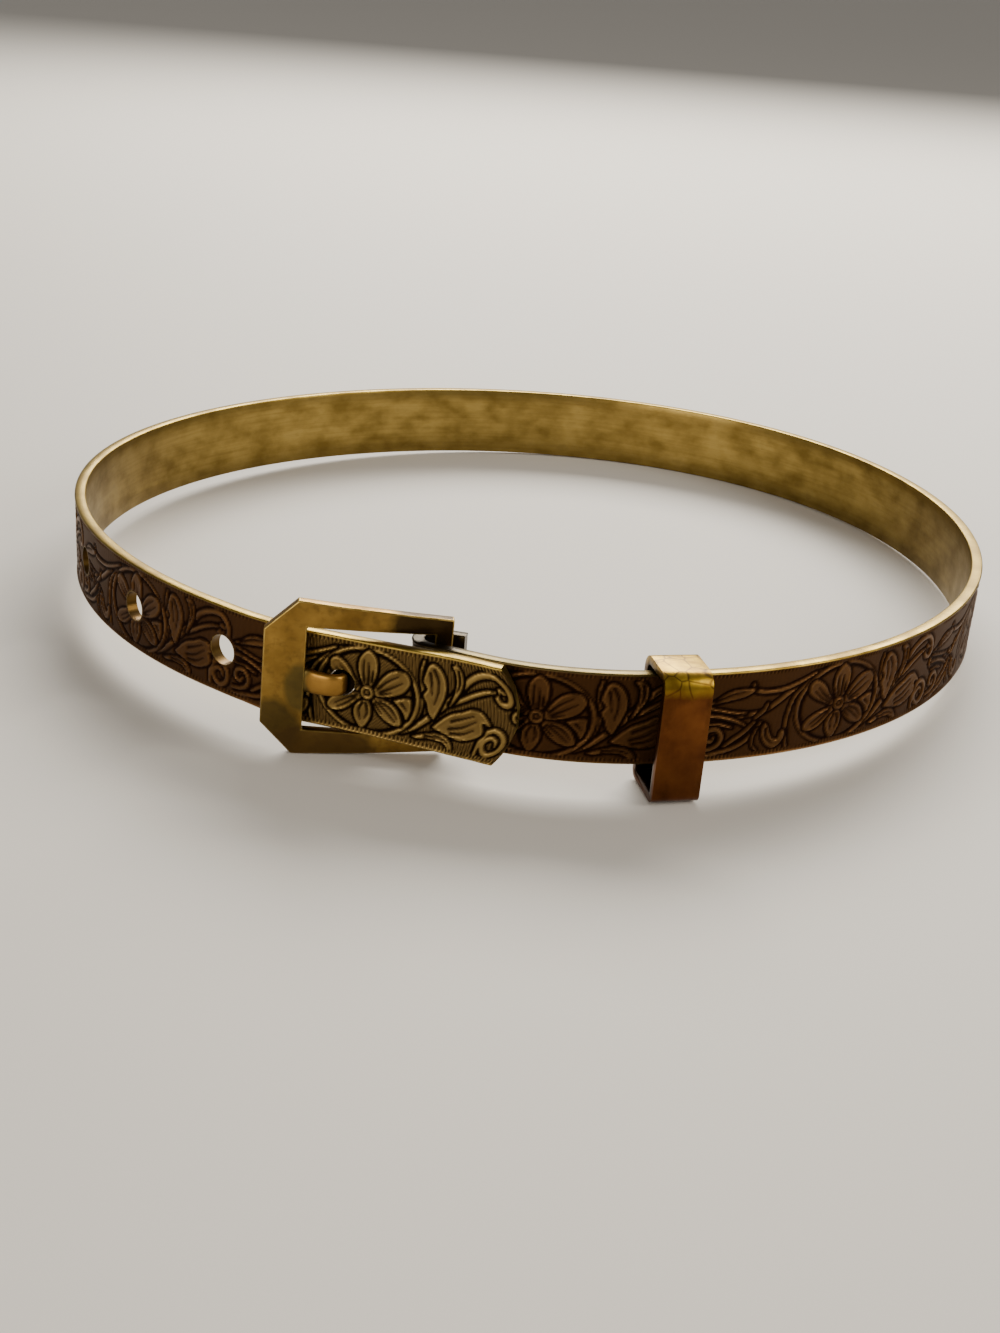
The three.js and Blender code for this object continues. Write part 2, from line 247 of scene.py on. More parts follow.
def strap_spacing(place):
    for start, end, spacing in STRAP_SPACINGS:
        if start < place < end:
            return spacing
    return REAR_SPACING


def strap_path():
    """The strap's middle line in plan from the folded heel to the tip, with its places."""
    heel_place, heel_out = lay(HEEL_LAY)
    free_place, free_out = lay(FREE_END_LAY)
    along, out = band_direction(HEEL_BAR_PLACE)
    centre = on_band(HEEL_BAR_PLACE, heel_out[0] - FOLD_RADIUS)
    inner = centre - out * FOLD_RADIUS
    back = [inner + along * FOLD_RETURN * share for share in (1, 0.66, 0.33)]
    turns = np.linspace(0, math.pi, 24, endpoint=False)
    fold = [centre - FOLD_RADIUS * (out * math.cos(t) + along * math.sin(t)) for t in turns]
    start = np.array(back + fold)
    start_run = run_along(start)
    start_place = heel_place[0] - 0.1 - (start_run[-1] - start_run)
    round_place = np.arange(heel_place[-1] + 0.4, BAND_LENGTH + free_place[0] - 0.2, 0.4)
    path = np.vstack([start, on_band(heel_place, heel_out), on_band(round_place),
                      on_band(free_place, free_out)])
    places = np.concatenate([start_place, heel_place, round_place, BAND_LENGTH + free_place])
    return resample(path, places, strap_spacing)


STRAP_PATH, STRAP_PLACES = strap_path()


def band_to_part():
    """The matrix from the band's frame to the part's, from the joint's axis and the strap's box."""
    axis = Vector(frame["record"]["behaviour"]["joints"][0]["axis"])
    tilt = Vector((0, 0, 1)).rotation_difference(axis)
    _, side = directions(STRAP_PATH)
    corners = []
    for out in (-STRAP_WALL / 2, STRAP_WALL / 2):
        for height in (0, STRAP_WIDTH):
            heights = np.full(len(STRAP_PATH), height)
            corners.append(np.column_stack([STRAP_PATH + out * side, heights]))
    turned = np.vstack(corners) @ np.array(tilt.to_matrix()).T * MM
    low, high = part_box("strap")
    shift = (Vector(low) + Vector(high)) / 2 - Vector((turned.min(0) + turned.max(0)) / 2)
    shift.y = high[1] - turned[:, 1].max()
    return Matrix.Translation(shift) @ tilt.to_matrix().to_4x4() @ Matrix.Scale(MM, 4)


TO_PART = band_to_part()
TO_BAND = TO_PART.inverted()


# Mesh helpers
def add_object(name, data):
    made = bpy.data.objects.new(name, data)
    bpy.context.scene.collection.objects.link(made)
    return made


def mesh_from(work, name):
    """An object from a finished bmesh."""
    mesh = bpy.data.meshes.new(name)
    work.to_mesh(mesh)
    work.free()
    return add_object(name, mesh)


def new_object(name, vertices, faces):
    mesh = bpy.data.meshes.new(name)
    mesh.from_pydata(vertices, [], faces)
    mesh.validate()
    return add_object(name, mesh)


def apply_modifiers(piece):
    depsgraph = bpy.context.evaluated_depsgraph_get()
    mesh = bpy.data.meshes.new_from_object(piece.evaluated_get(depsgraph))
    piece.modifiers.clear()
    piece.data = mesh


def tube_faces(count, around):
    """Faces of a closed tube made of count rings of points, with a face at each end."""
    grid = np.arange(count * around).reshape(count, around)
    a, b = grid[:-1], grid[1:]
    quads = np.stack([a, np.roll(a, -1, 1), np.roll(b, -1, 1), b], -1).reshape(-1, 4)
    faces = [tuple(quad) for quad in quads.tolist()]
    return [*faces, tuple(reversed(grid[0].tolist())), tuple(grid[-1].tolist())]


def turn_outward(piece):
    work = bmesh.new()
    work.from_mesh(piece.data)
    bmesh.ops.recalc_face_normals(work, faces=work.faces)
    work.to_mesh(piece.data)
    work.free()


def store(piece, name, values, domain="POINT"):
    attribute = piece.data.attributes.new(name, "FLOAT", domain)
    attribute.data.foreach_set("value", np.asarray(values, np.float32))


def finish(piece, material, sharp_angle):
    """Gives a piece its one material and its smooth shading."""
    piece.data.materials.clear()
    piece.data.materials.append(material)
    piece.data.shade_smooth()
    piece.data.set_sharp_from_angle(angle=math.radians(sharp_angle))


# Engraving: u along the strap from the flower's middle, v up the strap
PETALS = [
    {"outline": [(-0.21, 3.13), (-0.51, 3.79), (-0.64, 4.36), (-0.49, 5.00), (0.00, 5.47),
                 (0.46, 5.19), (0.64, 4.62), (0.57, 3.96), (0.20, 3.13)],
     "veins": [[(-0.20, 3.42), (-0.30, 4.22), (-0.24, 4.86)], [(0.06, 3.33), (0.07, 4.22), (0.03, 4.72)],
               [(0.29, 3.50), (0.36, 4.22)]]},
    {"outline": [(0.46, 3.02), (0.86, 3.73), (1.34, 4.27), (1.91, 4.53), (2.49, 4.47),
                 (2.79, 3.96), (2.46, 3.33), (1.96, 2.99), (1.31, 2.76), (0.57, 2.67)],
     "veins": [[(0.71, 3.13), (1.31, 3.72), (2.06, 4.22)], [(0.86, 2.96), (1.57, 3.36), (2.29, 3.82)],
               [(0.89, 2.82), (1.60, 3.05)]]},
    {"outline": [(0.57, 2.53), (1.31, 2.45), (1.91, 2.16), (2.24, 1.62), (2.29, 1.16),
                 (1.80, 1.05), (1.23, 1.25), (0.74, 1.67), (0.40, 2.27)],
     "veins": [[(0.63, 2.33), (1.26, 1.85), (1.91, 1.27)], [(0.91, 2.36), (1.57, 2.05), (2.03, 1.53)],
               [(0.54, 2.13), (1.03, 1.59)]]},
    {"outline": [(-0.17, 2.27), (-0.69, 1.90), (-0.84, 1.33), (-0.63, 0.79), (-0.29, 0.42),
                 (0.06, 0.76), (0.31, 1.33), (0.29, 1.85), (0.06, 2.27)],
     "veins": [[(-0.26, 2.10), (-0.49, 1.57), (-0.37, 0.96)], [(-0.03, 2.05), (0.06, 1.50), (-0.09, 1.07)]]},
    {"outline": [(-0.37, 2.99), (-0.89, 3.56), (-1.17, 4.07), (-1.60, 4.50), (-2.11, 4.70),
                 (-2.49, 4.42), (-2.46, 3.90), (-1.97, 3.45), (-1.26, 3.07), (-0.51, 2.76)],
     "veins": [[(-0.60, 3.10), (-1.26, 3.59), (-1.86, 4.22)], [(-0.74, 2.96), (-1.40, 3.33), (-2.06, 3.93)]]},
    {"outline": [(-0.43, 2.62), (-1.06, 2.56), (-1.83, 2.33), (-2.43, 1.96), (-2.63, 1.50),
                 (-2.29, 1.25), (-1.66, 1.33), (-1.06, 1.76), (-0.60, 2.22), (-0.29, 2.42)],
     "veins": [[(-0.66, 2.50), (-1.40, 2.13), (-2.14, 1.67)], [(-0.77, 2.30), (-1.40, 1.79), (-1.97, 1.47)]]},
    {"outline": [(1.75, 2.62), (2.31, 2.83), (2.81, 2.92), (2.93, 2.45), (2.80, 1.89),
                 (2.60, 1.57), (2.43, 1.96), (2.09, 2.33)],
     "veins": [[(2.30, 2.52), (2.62, 2.18)]]},
]
LEAVES = [
    {"outline": [(4.40, 1.96), (4.06, 2.33), (3.89, 2.93), (3.66, 3.36), (3.89, 3.79), (3.63, 4.22),
                 (3.74, 4.79), (3.97, 5.30), (4.40, 5.33), (4.86, 4.90), (5.09, 4.27), (5.06, 3.59),
                 (4.80, 2.85)],
     "veins": [[(4.26, 5.02), (4.57, 4.42), (4.60, 3.70), (4.40, 2.93)],
               [(4.03, 4.79), (4.14, 4.22), (4.20, 3.50)]]},
    {"outline": [(5.46, 5.45), (5.86, 5.59), (6.23, 5.13), (6.23, 4.42), (5.86, 3.65), (5.37, 2.99),
                 (5.63, 3.70), (5.80, 4.42), (5.74, 5.07)],
     "veins": [[(5.97, 5.25), (6.03, 4.50), (5.80, 3.93)]]},
    {"outline": [(4.31, 1.47), (4.97, 2.13), (5.60, 2.59), (6.23, 2.82), (6.89, 3.13), (7.57, 3.02),
                 (8.14, 2.36), (7.60, 2.42), (7.74, 1.79), (7.20, 1.33), (6.40, 1.07), (5.46, 1.16),
                 (4.94, 1.30)],
     "veins": [[(5.46, 1.62), (6.37, 1.90), (7.23, 2.47)], [(5.60, 2.13), (6.40, 2.47), (7.03, 2.76)],
               [(5.60, 1.36), (6.46, 1.50), (7.14, 1.90)]]},
    {"outline": [(3.03, 0.62), (3.89, 0.96), (4.83, 1.13), (5.46, 0.96), (5.86, 0.50), (5.66, 0.25),
                 (5.06, 0.67), (4.17, 0.73), (3.46, 0.59)],
     "veins": [[(3.89, 0.82), (4.77, 0.93), (5.46, 0.73)]]},
    {"outline": [(-5.45, 2.29), (-5.57, 1.65), (-5.36, 1.00), (-4.75, 0.49), (-4.20, 0.70),
                 (-3.92, 1.22), (-4.02, 1.61), (-4.26, 1.52), (-4.32, 1.13), (-4.69, 1.10),
                 (-4.99, 1.55), (-5.18, 2.04)],
     "veins": [[(-5.30, 1.90), (-5.20, 1.30), (-4.75, 0.80)]]},
    {"outline": [(-9.45, 3.81), (-8.78, 4.15), (-8.14, 4.58), (-7.28, 4.76), (-6.37, 4.67),
                 (-6.92, 4.27), (-7.74, 4.09), (-8.60, 3.94)],
     "veins": [[(-8.90, 4.00), (-7.98, 4.39), (-7.07, 4.58)]]},
]
STEMS = [
    {"width": 0.36, "points": [(2.31, 0.76), (3.11, 1.19), (3.91, 1.85), (4.66, 2.59), (5.40, 3.36),
                               (6.14, 4.25), (6.94, 4.96), (7.83, 5.33), (8.63, 5.36), (9.17, 4.93),
                               (9.34, 4.27), (9.11, 3.85), (8.69, 3.87), (8.46, 4.25), (8.69, 4.62),
                               (9.00, 4.50)]},
    {"width": 0.26, "points": [(5.46, 3.13), (6.20, 3.56), (7.00, 4.02), (7.83, 4.36), (8.40, 4.47)]},
    {"width": 0.34, "points": [(7.74, 0.22), (7.69, 0.90), (7.83, 1.65), (8.31, 2.13), (8.89, 2.02),
                               (9.23, 1.53), (9.14, 0.90), (8.63, 0.56), (8.11, 0.79), (8.00, 1.30),
                               (8.34, 1.65), (8.74, 1.53), (8.83, 1.19)]},
    {"width": 0.2, "points": [(9.86, 3.60), (9.50, 3.40), (9.42, 3.15), (9.55, 2.95), (9.86, 2.86)]},
    {"width": 0.18, "points": [(3.60, 5.50), (3.43, 4.65), (3.60, 3.50), (3.50, 2.36), (3.00, 1.47),
                               (2.17, 0.79)]},
    {"width": 0.3, "points": [(-7.68, 2.84), (-6.73, 2.99), (-5.69, 3.08), (-4.75, 3.63),
                              (-3.83, 4.30), (-2.79, 4.88), (-1.73, 5.28), (-0.81, 5.40)]},
    {"width": 0.26, "points": [(-6.52, 5.03), (-6.34, 4.61), (-5.54, 4.42), (-4.32, 4.49),
                               (-3.10, 4.88), (-2.18, 5.28)]},
    {"width": 0.16, "points": [(-9.45, 3.66), (-8.60, 3.45), (-7.53, 3.20), (-6.73, 3.11)]},
    {"width": 0.2, "points": [(-9.45, 3.11), (-8.44, 2.99), (-7.44, 2.65), (-6.73, 2.26)]},
    {"width": 0.16, "points": [(-9.33, 2.53), (-8.44, 2.47), (-7.59, 2.20)]},
    {"width": 0.24, "points": [(-7.95, 0.95), (-7.44, 1.34), (-6.73, 1.83), (-6.06, 2.53)]},
    {"width": 0.24, "points": [(-9.45, 0.42), (-8.44, 0.52), (-7.34, 0.79), (-6.46, 1.34),
                               (-5.69, 2.38)]},
    {"width": 0.28, "points": [(-9.60, 0.75), (-8.90, 0.82), (-8.35, 1.15), (-8.22, 1.70),
                               (-8.60, 2.15), (-9.12, 2.05), (-9.25, 1.55), (-8.88, 1.32),
                               (-8.68, 1.62)]},
    {"width": 0.22, "points": [(-3.68, 0.27), (-3.83, 1.03), (-3.95, 1.95), (-3.83, 3.02),
                               (-3.50, 3.94), (-2.64, 4.76)]},
    {"width": 0.14, "points": [(-5.91, 1.95), (-6.15, 1.34), (-6.09, 0.79), (-5.73, 0.42)]},
    {"width": 0.22, "points": [(-6.15, 2.70), (-5.60, 3.15), (-5.39, 3.63)]},
]
ROUNDEL = {"middle": (0.02, 2.85), "half_width": 3.17, "half_height": 2.62}
FLOWER_MIDDLE = (0.0, 2.76)

# Each row: radius round the flower's middle, height within it
EYE_RINGS = [(0.55, 0.0), (0.42, 1.0), (0.24, 0.1), (0.12, 0.7)]

# Widths in the engraving
GROOVE = 0.17
LEAF_RIM = 0.13
VEIN = 0.08
RING_GROOVE = 0.24
RING_BAND = 0.2
RING_LINE = 0.1
BORDER = 0.42
BORDER_RIM = 0.2
HOLE_MARGIN = 0.16
BEAD_PITCH = 0.27
HATCH_PITCH = 0.21
STIPPLE_PITCH = 0.24

# Heights in the engraving, from 0, deepest, to 1
GROUND = 0.52
LEAF_MIDDLE = 0.74
VEIN_HEIGHT = 0.1
TIP_HATCH = 0.3
BAND_HATCH = 0.04


def distance_to(u, v, curve):
    """Distance of each raster point to a polyline, and how far along it (0 to 1) that lies."""
    best = np.full(u.shape, np.inf)
    along = np.zeros(u.shape)
    pieces = len(curve) - 1
    for index, (a, b) in enumerate(zip(curve, curve[1:])):
        du, dv = b - a
        share = np.clip(((u - a[0]) * du + (v - a[1]) * dv) / (du * du + dv * dv), 0, 1)
        gap = np.hypot(u - a[0] - share * du, v - a[1] - share * dv)
        nearer = gap < best
        best = np.where(nearer, gap, best)
        along = np.where(nearer, (index + share) / pieces, along)
    return best, along


def inside(u, v, outline):
    """True for each raster point within a closed outline, by the edges it meets on one side."""
    crossings = np.zeros(u.shape, int)
    for (u0, v0), (u1, v1) in zip(outline, np.roll(outline, -1, axis=0)):
        spans = (v0 <= v) != (v1 <= v)
        at = u0 + (v - v0) * (u1 - u0) / (v1 - v0 if v1 != v0 else 1e-9)
        crossings += spans & (u < at)
    return crossings % 2 == 1


def raise_leaf(height, u, v, leaf):
    """A leaf or petal: a raised rim, a slightly lower middle with cut veins, a groove round it."""
    closed = spline([*leaf["outline"], leaf["outline"][0]], 5)
    gap, _ = distance_to(u, v, closed)
    within = inside(u, v, closed)
    height = np.where(~within & (gap < GROOVE), 0.0, height)
    height = np.where(within, np.where(gap < LEAF_RIM, 1.0, LEAF_MIDDLE), height)
    for vein in leaf["veins"]:
        cut, along = distance_to(u, v, spline(vein, 5))
        height = np.where(within & (cut < VEIN * (1.1 - 0.7 * along)), VEIN_HEIGHT, height)
    return height


def raise_stem(height, u, v, stem):
    """A rounded stem that swells in its middle, between two grooves."""
    gap, along = distance_to(u, v, spline(stem["points"], 5))
    swell = np.sin(np.pi * np.clip(along * 0.9 + 0.1, 0, 1)) ** 0.6
    half = stem["width"] / 2 * (0.45 + 0.55 * swell)
    height = np.where((gap >= half) & (gap < half + GROOVE), 0.0, height)
    return np.where(gap < half, 1.0 - 0.15 * (gap / half) ** 2, height)


def raise_roundel(height, u, v, hatch):
    """The flower's round field: a groove round it, a raised band and a thin line outside that."""
    across = (u - ROUNDEL["middle"][0]) / ROUNDEL["half_width"]
    up = (v - ROUNDEL["middle"][1]) / ROUNDEL["half_height"]
    from_edge = (np.hypot(across, up) - 1) * ROUNDEL["half_height"]
    height = np.where(from_edge < RING_BAND + RING_LINE, 0.05, height)
    height = np.where(from_edge < RING_BAND, 0.95, height)
    height = np.where(from_edge < 0, 0.0, height)
    stipple = np.cos(2 * np.pi * u / STIPPLE_PITCH) * np.cos(2 * np.pi * v / STIPPLE_PITCH)
    return np.where(from_edge < -RING_GROOVE, GROUND + hatch * stipple, height)


def engraving(hatch):
    """Heights over one repeat, on a raster of u (first axis) and v (second axis)."""
    u_marks = np.arange(-MOTIF_HALF, MOTIF_HALF + RASTER_STEP, RASTER_STEP)
    v_marks = np.arange(0, STRAP_WIDTH + RASTER_STEP, RASTER_STEP)
    u, v = np.meshgrid(u_marks, v_marks, indexing="ij")
    height = GROUND + hatch * np.cos(2 * np.pi * (u + 0.08 * v) / HATCH_PITCH)
    for stem in STEMS:
        height = raise_stem(height, u, v, stem)
    for leaf in LEAVES:
        height = raise_leaf(height, u, v, leaf)
    height = raise_roundel(height, u, v, hatch)
    for petal in PETALS:
        height = raise_leaf(height, u, v, petal)
    eye = np.hypot(u - FLOWER_MIDDLE[0], v - FLOWER_MIDDLE[1])
    for radius, level in EYE_RINGS:
        height = np.where(eye < radius, level, height)
    return height


def blur(height, passes):
    """Softens a raster as wear does."""
    for _ in range(passes):
        for axis in (0, 1):
            height = (np.roll(height, 1, axis) + 2 * height + np.roll(height, -1, axis)) / 4
    return height


def place_in_repeat(places):
    """Each place's u from its nearest flower, drawn together where two flowers are close."""
    nearest = np.abs(places[:, None] - FLOWERS[None]).argmin(1)
    offset = places - FLOWERS[nearest]
    gaps = np.diff(FLOWERS)
    room_right = np.append(gaps, 2 * MOTIF_HALF)[nearest] / 2
    room_left = np.insert(gaps, 0, 2 * MOTIF_HALF)[nearest] / 2
    room = np.where(offset > 0, room_right, room_left)
    return offset * np.minimum(MOTIF_HALF / room, MOTIF_STRETCH)


def sample(raster, first, second):
    """A raster's heights at fractional steps along its two axes."""
    first = np.clip(first, 0, raster.shape[0] - 1.001)
    second = np.clip(second, 0, raster.shape[1] - 1.001)
    i, j = first.astype(int), second.astype(int)
    past_i, past_j = (first - i)[:, None], (second - j)[None]
    height = np.zeros((len(first), len(second)))
    for di, share_i in ((0, 1 - past_i), (1, past_i)):
        for dj, share_j in ((0, 1 - past_j), (1, past_j)):
            height += share_i * share_j * raster[np.ix_(i + di, j + dj)]
    return height


def relief_at(places, levels):
    """The engraving's height at places along the strap (rows) and levels up it (columns)."""
    rear = ((places > REAR_FROM) & (places < REAR_TO)).astype(float)[:, None]
    tip = (places > TIP_FROM).astype(float)[:, None]
    plain = engraving(BAND_HATCH)
    rasters = (
        (blur(engraving(TIP_HATCH), 1), tip),
        (blur(plain, 1), 1 - rear - tip),
        (blur(plain, 6), rear),
    )
    across = (place_in_repeat(places) + MOTIF_HALF) / RASTER_STEP
    height = sum(share * sample(raster, across, levels / RASTER_STEP) for raster, share in rasters)
    beads = 0.5 + 0.5 * np.cos(2 * np.pi * places / BEAD_PITCH)[:, None]
    beads = beads * (1 - rear) + 0.6 * rear
    from_edge = np.minimum(levels, STRAP_WIDTH - levels)[None] + 0 * height
    height = np.where(from_edge < BORDER, 0.15 + 0.75 * beads, height)
    height = np.where(from_edge < BORDER_RIM, 1.0, height)
    for place in hole_places()[1:]:
        from_hole = np.hypot(places[:, None] - place, levels[None] - STRAP_WIDTH / 2)
        height = np.where(from_hole < HOLE_RADIUS + HOLE_MARGIN, GROUND, height)
    return height


# Strap
def edge_corner(out, level, turns):
    """Points of a rounded edge about its middle, at turns in degrees."""
    angles = [math.radians(turn) for turn in turns]
    return [(out + EDGE_ROUND * math.cos(t), level + EDGE_ROUND * math.sin(t), False) for t in angles]


def section():
    """The strap's section round its four sides. Each point: outward, up, whether on the face."""
    half = STRAP_WALL / 2
    inset = half - EDGE_ROUND
    top = STRAP_WIDTH - EDGE_ROUND
    return [
        *[(half, level, True) for level in np.linspace(EDGE_ROUND, top, FACE_ROWS)],
        *edge_corner(inset, top, (45, 90)),
        *edge_corner(-inset, top, (90, 135, 180)),
        *[(-half, STRAP_WIDTH * share, False) for share in (0.8, 0.6, 0.4, 0.2)],
        *edge_corner(-inset, EDGE_ROUND, (180, 225, 270)),
        *edge_corner(inset, EDGE_ROUND, (270, 315)),
    ]


def tip_end(level):
    """The tip's bulged and slanted end: 0 in its middle, drawn back towards its corners."""
    share = 1 - level / STRAP_WIDTH
    return TIP_BULGE * (4 * share * (1 - share) - 1) - TIP_SLANT * share


def strap_points(relief, out, level, face):
    """The strap's points in the part's frame, ring by ring from the heel."""
    along, side = directions(STRAP_PATH)
    offset = out[None] - np.where(face[None], (1 - relief) * RELIEF_DEPTH, 0)
    end = BAND_LENGTH + TIP_PLACE
    near_tip = np.clip((STRAP_PLACES - end + TIP_RUN_IN) / TIP_RUN_IN, 0, 1)
    push = near_tip[:, None] * tip_end(level)[None]
    flare = np.interp(STRAP_PLACES - BAND_LENGTH, FLARE[:, 0], FLARE[:, 1])[:, None]
    x = STRAP_PATH[:, :1] + side[:, :1] * offset + along[:, :1] * push
    y = STRAP_PATH[:, 1:] + side[:, 1:] * offset + along[:, 1:] * push
    z = level[None] - flare * (1 - level / STRAP_WIDTH)[None]
    points = np.stack([x, y, z, np.ones_like(x)], -1).reshape(-1, 4)
    return (points @ np.array(TO_PART).T)[:, :3]


def build_strap():
    outline = section()
    out, level, face = (np.array(column) for column in zip(*outline))
    relief = np.ones((len(STRAP_PLACES), len(outline)))
    relief[:, face] = relief_at(STRAP_PLACES, level[face])
    points = strap_points(relief, out, level, face)
    strap = new_object("strap_band", points.tolist(), tube_faces(*relief.shape))
    turn_outward(strap)
    spread = np.zeros(relief.shape)
    store(strap, "relief", relief.ravel())
    store(strap, "outside", (spread + face[None]).ravel())
    store(strap, "polish", (spread + np.clip(STRAP_PLACES - TIP_FROM, 0, 1)[:, None]).ravel())
    store(strap, "place", (spread + STRAP_PLACES[:, None]).ravel())
    store(strap, "level", (spread + level[None]).ravel())
    cut_holes(strap)
    return strap


def hole_places():
    """The holes' places along the band: the hooked one, then the free ones from the buckle on."""
    end = BAND_LENGTH + TIP_PLACE
    free = [end - FREE_HOLE_FROM_TIP - index * HOLE_PITCH for index in range(HOLE_COUNT - 1)]
    return [BAND_LENGTH + HOOKED_HOLE_PLACE, *free]


def hole_matrix(place):
    """The middle of a hole in the part's frame, its axis along Z."""
    at, ahead = (
        np.array([np.interp(mark, STRAP_PLACES, STRAP_PATH[:, axis]) for axis in (0, 1)])
        for mark in (place, place + 0.5)
    )
    turn = math.atan2(*(ahead - at)[::-1])
    return (TO_PART @ Matrix.Translation((at[0], at[1], STRAP_WIDTH / 2))
            @ Matrix.Rotation(turn, 4, "Z") @ Matrix.Rotation(math.pi / 2, 4, "X"))


def cut_holes(strap):
    """Cuts the holes through the strap with round cutters and marks their walls."""
    work = bmesh.new()
    radii = [HOOKED_HOLE_RADIUS] + [HOLE_RADIUS] * (HOLE_COUNT - 1)
    for place, radius in zip(hole_places(), radii):
        bmesh.ops.create_cone(work, cap_ends=True, segments=48, radius1=radius, radius2=radius,
                              depth=3 * STRAP_WALL, matrix=hole_matrix(place))
    cutter = mesh_from(work, "hole_cutter")
    cut = strap.modifiers.new("holes", "BOOLEAN")
    cut.object = cutter
    cut.solver = "EXACT"
    apply_modifiers(strap)
    bpy.data.objects.remove(cutter)
    mark_bores(strap, radii)


def mark_bores(strap, radii):
    """Marks the walls of the holes: the faces that lie within a hole's radius of its axis."""
    centres = np.array([face.center for face in strap.data.polygons])
    bore = np.zeros(len(centres))
    for place, radius in zip(hole_places(), radii):
        axes = np.linalg.inv(np.array(hole_matrix(place)))
        local = centres @ axes[:3, :3].T + axes[:3, 3]
        near = np.abs(local[:, 2]) < 3 * STRAP_WALL
        bore[near & (np.hypot(local[:, 0], local[:, 1]) < radius)] = 1
    store(strap, "bore", bore, "FACE")


# Buckle: the part's plate and prong, drawn in the plate's own frame (u from its front edge, v up)
def bow_at(u):
    """How far the bowed plate stands off its chord."""
    return FRAME_BOW * 4 * u * (FRAME_LENGTH - u) / FRAME_LENGTH ** 2


def free_out(place):
    """The free end's outward offset at a place."""
    places, outs = lay(FREE_END_LAY)
    return float(np.interp(place, places, outs))


def plate_axes():
    """The plate's start, its run and its outward side in plan."""
    along, _ = band_direction(HEEL_BAR_PLACE)
    bar = on_band(HEEL_BAR_PLACE, HEEL_LAY[0, 1] * LAYER_PITCH - FOLD_RADIUS) + along * CLEARANCE
    lift = (STRAP_WALL + FRAME_WALL) / 2 + CLEARANCE - bow_at(FRONT_BAR)
    front = on_band(FRONT_BAR_PLACE, free_out(FRONT_BAR_PLACE) + lift)
    run = (bar - front) / np.linalg.norm(bar - front)
    out = np.array([run[1], -run[0]])
    return bar - run * HEEL_BAR_CENTRE - out * bow_at(HEEL_BAR_CENTRE), run, out


PLATE_START, PLATE_RUN, PLATE_OUT = plate_axes()


def on_plate(u, w):
    return PLATE_START + PLATE_RUN * u + PLATE_OUT * (bow_at(u) + w)


def stepped(corners, step):
    """A closed outline with points at most a step apart."""
    points = []
    for (u0, v0), (u1, v1) in zip(corners, corners[1:] + corners[:1]):
        count = math.ceil(math.hypot(u1 - u0, v1 - v0) / step)
        points += [(u0 + (u1 - u0) * i / count, v0 + (v1 - v0) * i / count) for i in range(count)]
    return points


def plate_outline():
    front = FRAME_HEIGHT_FRONT / 2
    heel = FRAME_HEIGHT_HEEL / 2
    upper = [(0, front - FRAME_CORNER), (FRAME_CORNER, front), (FRAME_LENGTH, heel)]
    return stepped(upper + [(u, -v) for u, v in reversed(upper)], PLATE_STEP)


def window_outline():
    right = FRAME_LENGTH - HEEL_BAR
    half = WINDOW_HEIGHT / 2
    corners = [(FRONT_BAR, -half), (right, -half), (right, half), (FRONT_BAR, half)]
    return stepped(corners, PLATE_STEP)


def plate_point(u, v, w):
    """A point of the canted plate in the part's frame, w outward from its middle."""
    middle = FRAME_LENGTH / 2
    across = (u - middle) * math.cos(FRAME_CANT) - v * math.sin(FRAME_CANT)
    height = (u - middle) * math.sin(FRAME_CANT) + v * math.cos(FRAME_CANT) + FRAME_MIDDLE
    x, y = on_plate(middle + across, w)
    return TO_PART @ Vector((x, y, height))


def build_plate():
    work = bmesh.new()
    for outline in (plate_outline(), window_outline()):
        ring = [work.verts.new((u, v, -FRAME_WALL / 2)) for u, v in outline]
        for a, b in zip(ring, ring[1:] + ring[:1]):
            work.edges.new((a, b))
    bmesh.ops.triangle_fill(work, edges=work.edges[:], use_beauty=True)
    made = bmesh.ops.extrude_face_region(work, geom=work.faces[:])
    for item in made["geom"]:
        if isinstance(item, bmesh.types.BMVert):
            item.co.z = FRAME_WALL / 2
    for vertex in work.verts:
        vertex.co = plate_point(*vertex.co)
    bmesh.ops.recalc_face_normals(work, faces=work.faces)
    plate = mesh_from(work, "buckle_plate")
    break_edges(plate, PLATE_EDGE, 3)
    return plate


def prong_path():
    """The prong's middle line in plan, from inside the front bar over the strap into the hole."""
    nib = HOOKED_HOLE_PLACE + NIB_FORWARD
    over = free_out(nib) + (STRAP_WALL + PRONG_WALL) / 2 + CLEARANCE
    under = free_out(nib) - STRAP_WALL / 2 + PRONG_WALL / 15
    bend = PRONG_WALL
    return spline([
        on_plate(FRONT_BAR - bend, 0),
        on_plate(FRONT_BAR + bend / 4, PRONG_RISE / 5),
        on_band(nib - 2.5 * bend, over + PRONG_RISE),
        on_band(nib - bend, over + PRONG_RISE / 2),
        on_band(nib - bend / 5, over - bend / 2),
        on_band(nib, under),
    ], 8)


def flatten(wave, power):
    """A sine wave squared off towards its tops."""
    return np.sign(wave) * np.abs(wave) ** power


def build_prong():
    """A tongue with a domed face that narrows to the nib in the hooked hole."""
    path = prong_path()
    _, side = directions(path)
    width = np.interp(np.linspace(0, 1, len(path)), PRONG_WIDTHS[:, 0], PRONG_WIDTHS[:, 1])
    turns = np.linspace(0, 2 * math.pi, 32, endpoint=False)
    vertices = []
    for index in range(len(path)):
        out = PRONG_WALL / 2 * flatten(np.cos(turns), 0.75)
        rise = width[index] / 2 * flatten(np.sin(turns), 0.55)
        for w, z in zip(out, rise):
            x, y = path[index] + side[index] * w
            vertices.append(TO_PART @ Vector((x, y, STRAP_WIDTH / 2 + z)))
    prong = new_object("buckle_prong", vertices, tube_faces(len(path), len(turns)))
    add_hole_shade_plug(prong)
    turn_outward(prong)
    return prong


